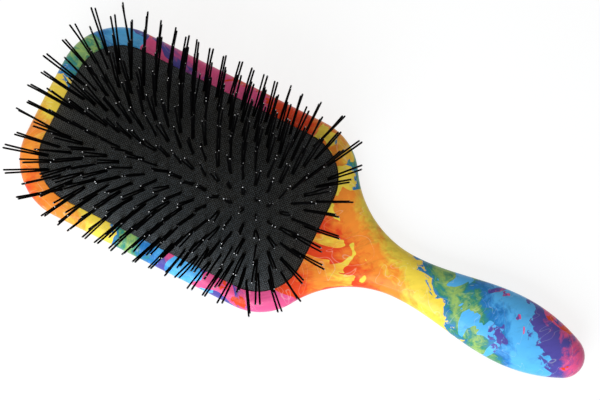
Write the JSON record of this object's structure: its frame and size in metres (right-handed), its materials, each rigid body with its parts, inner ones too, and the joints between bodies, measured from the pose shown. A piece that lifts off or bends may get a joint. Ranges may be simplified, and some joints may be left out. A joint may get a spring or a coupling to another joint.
{
  "type": "detangling brush",
  "caption": "Paddle detangling brush with a glossy printed handle and frame, a domed rubber air cushion and a fan of fine nylon tufts.",
  "frame": {"origin": "on the flat back, under the middle of the cushion", "axes": "+X from the head to the handle, +Z from the flat back to the bristle tips, +Y across the head"},
  "size_m": [0.2554, 0.0925, 0.0488],
  "materials": {
    "printed_plastic": "glossy, printed all over in bright colours",
    "cushion_rubber": "matt black with a fine woven grain",
    "black_nylon": "black, slightly glossy"
  },
  "bodies": {
    "paddle": {"handle_body": "printed_plastic", "air_cushion": "cushion_rubber"},
    "crown_tufts": {"tuft_crown": "black_nylon"},
    "ring_1_tufts": {"tuft_ring_1": "black_nylon"},
    "ring_2_tufts": {"tuft_ring_2": "black_nylon"},
    "ring_3_tufts": {"tuft_ring_3": "black_nylon"},
    "ring_4_tufts": {"tuft_ring_4": "black_nylon"}
  },
  "joints": [
    {"name": "cushion_press", "type": "slide", "parent": "paddle", "child": "crown_tufts", "axis": [0, 0, -1], "range_m": [0, 0.005], "stiffness_N_per_m": 1200, "deforming": ["air_cushion"]},
    {"name": "ring_4_press", "type": "slide", "parent": "paddle", "child": "ring_4_tufts", "axis": [0, 0, -1], "range_m": [0, 0.0043]},
    {"name": "ring_3_press", "type": "slide", "parent": "paddle", "child": "ring_3_tufts", "axis": [0, 0, -1], "range_m": [0, 0.0036]},
    {"name": "ring_2_press", "type": "slide", "parent": "paddle", "child": "ring_2_tufts", "axis": [0, 0, -1], "range_m": [0, 0.0026]},
    {"name": "ring_1_press", "type": "slide", "parent": "paddle", "child": "ring_1_tufts", "axis": [0, 0, -1], "range_m": [0, 0.0015]}
  ],
  "couplings": [
    {"joint": "ring_4_press", "follows": "cushion_press", "ratio": 0.85},
    {"joint": "ring_3_press", "follows": "cushion_press", "ratio": 0.7},
    {"joint": "ring_2_press", "follows": "cushion_press", "ratio": 0.5},
    {"joint": "ring_1_press", "follows": "cushion_press", "ratio": 0.28}
  ]
}
